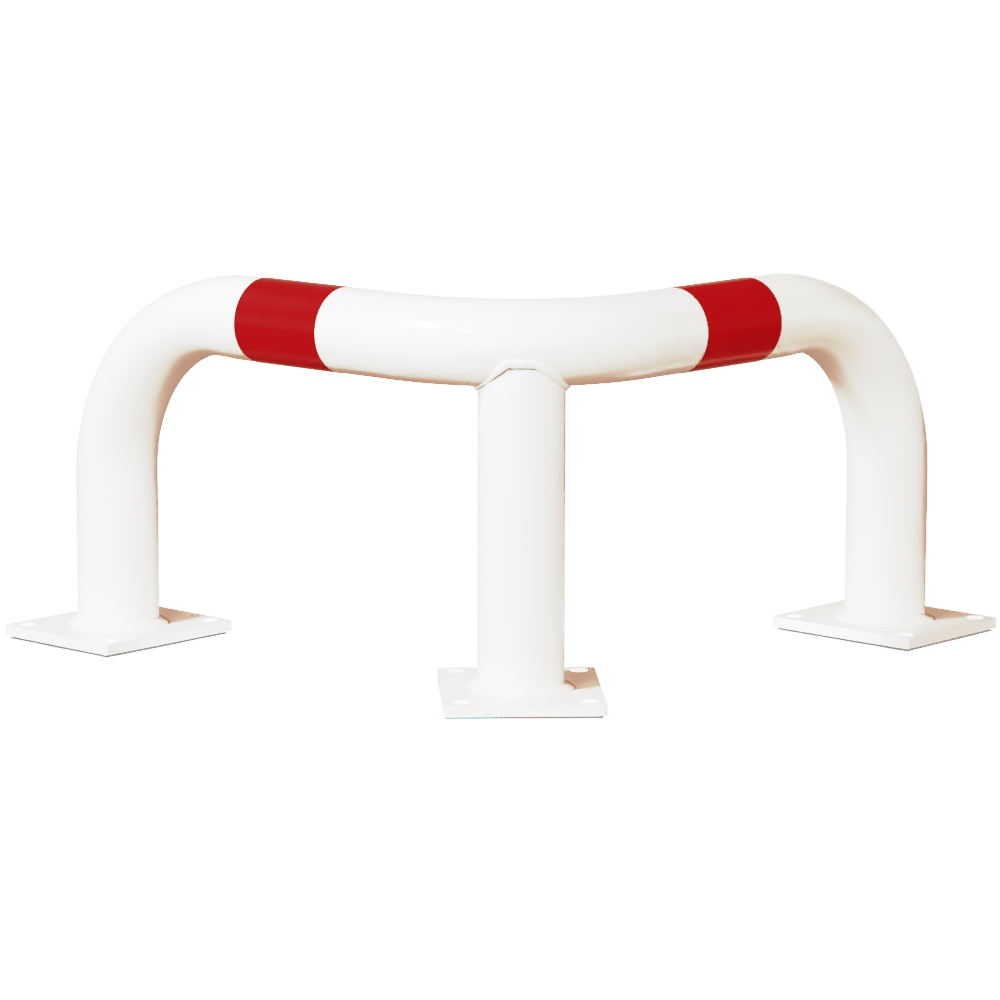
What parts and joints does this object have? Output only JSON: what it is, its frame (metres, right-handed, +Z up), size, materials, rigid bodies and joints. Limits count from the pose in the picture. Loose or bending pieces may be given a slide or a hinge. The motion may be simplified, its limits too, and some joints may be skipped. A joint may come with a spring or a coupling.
{
  "type": "corner impact guard",
  "caption": "Low corner impact guard: a bent round tube rail on two end posts and a coped centre post, each welded to a flat base plate with anchor holes.",
  "frame": {"origin": "on the corner post's axis, at the underside of its base plate, which is the floor", "axes": "+Z up; the right arm of the picture runs along +X and the left arm along +Y, so the guarded corner lies towards +X and +Y"},
  "size_m": [0.66, 0.66, 0.3504],
  "materials": {
    "white_paint": "glossy white powder coat over welded steel",
    "red_film": "smooth red adhesive film"
  },
  "bodies": {
    "root": {"rail_tube": "white_paint", "corner_post": "white_paint", "corner_base_plate": "white_paint", "right_base_plate": "white_paint", "left_base_plate": "white_paint", "corner_foot_weld": "white_paint", "right_foot_weld": "white_paint", "left_foot_weld": "white_paint", "corner_saddle_weld": "white_paint", "right_band": "red_film", "left_band": "red_film"}
  },
  "joints": []
}
